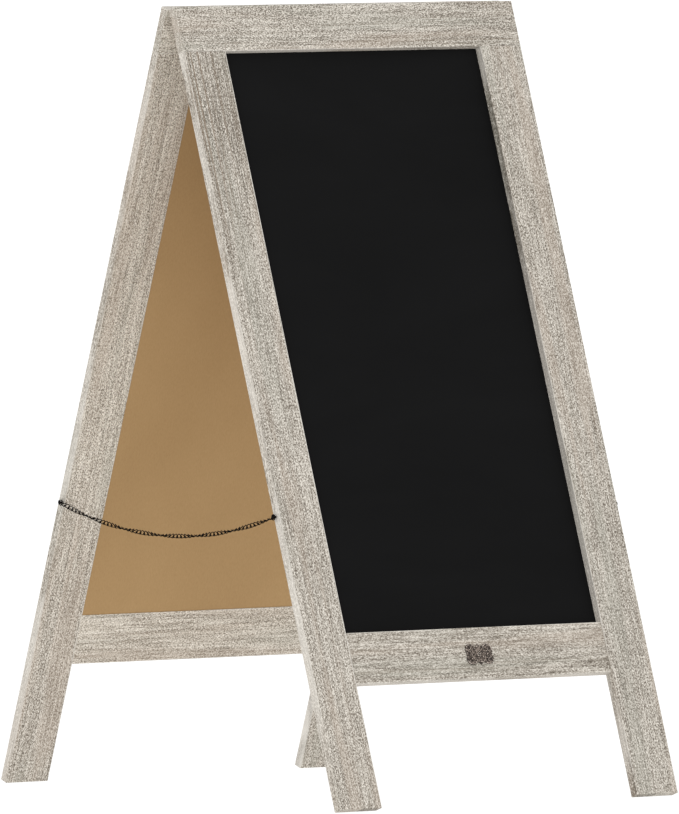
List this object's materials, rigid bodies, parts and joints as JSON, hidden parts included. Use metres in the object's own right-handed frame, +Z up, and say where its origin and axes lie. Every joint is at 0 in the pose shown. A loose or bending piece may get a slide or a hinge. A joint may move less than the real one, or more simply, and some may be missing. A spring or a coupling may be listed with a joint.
{
  "type": "folding menu chalkboard easel",
  "caption": "Two-sided folding menu easel: twin wooden frames hinged at the top, each holding a chalkboard, kept open by a light chain on either side",
  "frame": {"origin": "on the floor, midway between the four feet", "axes": "+X to the viewer's right, -Y towards the viewer of the front board, +Z up"},
  "size_m": [0.52, 0.6838, 0.9481],
  "materials": {
    "whitewashed_wood": "whitewashed, wire-brushed timber",
    "plain_wood": "bare hidden tenon",
    "chalkboard": "matt black writing coat on hardboard, brown back",
    "black_steel": "black steel chain and screws",
    "hinge_steel": "plated steel hinge",
    "plaque_metal": "dark aged metal plaque"
  },
  "bodies": {
    "front_frame": {"front_top_rail": "whitewashed_wood", "front_bottom_rail": "whitewashed_wood", "front_chalkboard": "chalkboard", "front_left_stile": "whitewashed_wood", "front_left_top_tenon": "plain_wood", "front_left_bottom_tenon": "plain_wood", "front_left_chain_screw": "black_steel", "hinge_left_front_leaf": "hinge_steel", "hinge_left_front_screws": "hinge_steel", "front_right_stile": "whitewashed_wood", "front_right_top_tenon": "plain_wood", "front_right_bottom_tenon": "plain_wood", "front_right_chain_screw": "black_steel", "hinge_right_front_leaf": "hinge_steel", "hinge_right_front_screws": "hinge_steel", "plaque": "plaque_metal", "plaque_left_nail": "plaque_metal", "plaque_right_nail": "plaque_metal", "hinge_left_pin": "hinge_steel", "hinge_right_pin": "hinge_steel"},
    "rear_frame": {"rear_top_rail": "whitewashed_wood", "rear_bottom_rail": "whitewashed_wood", "rear_chalkboard": "chalkboard", "rear_left_stile": "whitewashed_wood", "rear_left_top_tenon": "plain_wood", "rear_left_bottom_tenon": "plain_wood", "rear_left_chain_screw": "black_steel", "hinge_left_rear_leaf": "hinge_steel", "hinge_left_rear_screws": "hinge_steel", "rear_right_stile": "whitewashed_wood", "rear_right_top_tenon": "plain_wood", "rear_right_bottom_tenon": "plain_wood", "rear_right_chain_screw": "black_steel", "hinge_right_rear_leaf": "hinge_steel", "hinge_right_rear_screws": "hinge_steel"},
    "chain_left_front_outer": {"chain_left_front_outer": "black_steel"},
    "chain_left_front_inner": {"chain_left_front_inner": "black_steel"},
    "chain_left_rear_outer": {"chain_left_rear_outer": "black_steel"},
    "chain_left_rear_inner": {"chain_left_rear_inner": "black_steel"},
    "chain_right_front_outer": {"chain_right_front_outer": "black_steel"},
    "chain_right_front_inner": {"chain_right_front_inner": "black_steel"},
    "chain_right_rear_outer": {"chain_right_rear_outer": "black_steel"},
    "chain_right_rear_inner": {"chain_right_rear_inner": "black_steel"}
  },
  "joints": [
    {"name": "frame_fold", "type": "hinge", "parent": "front_frame", "child": "rear_frame", "pos_m": [0, 0, 0.9398], "axis": [1, 0, 0], "range_deg": [-38.7, 0], "deforming": ["chain_left_front_outer", "chain_left_front_inner", "chain_left_rear_outer", "chain_left_rear_inner", "chain_right_front_outer", "chain_right_front_inner", "chain_right_rear_outer", "chain_right_rear_inner"]},
    {"name": "chain_left_front_swing", "type": "hinge", "parent": "front_frame", "child": "chain_left_front_outer", "pos_m": [-0.25705, -0.21514, 0.3457], "axis": [1, 0, 0], "range_deg": [-97.48, 0]},
    {"name": "chain_left_front_bend", "type": "hinge", "parent": "chain_left_front_outer", "child": "chain_left_front_inner", "pos_m": [-0.25705, -0.11048, 0.32276], "axis": [1, 0, 0], "range_deg": [-5.52, 0]},
    {"name": "chain_left_rear_swing", "type": "hinge", "parent": "rear_frame", "child": "chain_left_rear_outer", "pos_m": [-0.25705, 0.21514, 0.3457], "axis": [1, 0, 0], "range_deg": [0, 97.48]},
    {"name": "chain_left_rear_bend", "type": "hinge", "parent": "chain_left_rear_outer", "child": "chain_left_rear_inner", "pos_m": [-0.25705, 0.11048, 0.32276], "axis": [1, 0, 0], "range_deg": [0, 5.52]},
    {"name": "chain_right_front_swing", "type": "hinge", "parent": "front_frame", "child": "chain_right_front_outer", "pos_m": [0.25705, -0.21514, 0.3457], "axis": [1, 0, 0], "range_deg": [-97.48, 0]},
    {"name": "chain_right_front_bend", "type": "hinge", "parent": "chain_right_front_outer", "child": "chain_right_front_inner", "pos_m": [0.25705, -0.11048, 0.32276], "axis": [1, 0, 0], "range_deg": [-5.52, 0]},
    {"name": "chain_right_rear_swing", "type": "hinge", "parent": "rear_frame", "child": "chain_right_rear_outer", "pos_m": [0.25705, 0.21514, 0.3457], "axis": [1, 0, 0], "range_deg": [0, 97.48]},
    {"name": "chain_right_rear_bend", "type": "hinge", "parent": "chain_right_rear_outer", "child": "chain_right_rear_inner", "pos_m": [0.25705, 0.11048, 0.32276], "axis": [1, 0, 0], "range_deg": [0, 5.52]}
  ],
  "couplings": [
    {"joint": "chain_left_front_swing", "follows": "frame_fold", "ratio": 2.506},
    {"joint": "chain_left_front_bend", "follows": "frame_fold", "ratio": 0.12968},
    {"joint": "chain_left_rear_swing", "follows": "frame_fold", "ratio": -2.506},
    {"joint": "chain_left_rear_bend", "follows": "frame_fold", "ratio": -0.12968},
    {"joint": "chain_right_front_swing", "follows": "frame_fold", "ratio": 2.506},
    {"joint": "chain_right_front_bend", "follows": "frame_fold", "ratio": 0.12968},
    {"joint": "chain_right_rear_swing", "follows": "frame_fold", "ratio": -2.506},
    {"joint": "chain_right_rear_bend", "follows": "frame_fold", "ratio": -0.12968}
  ]
}
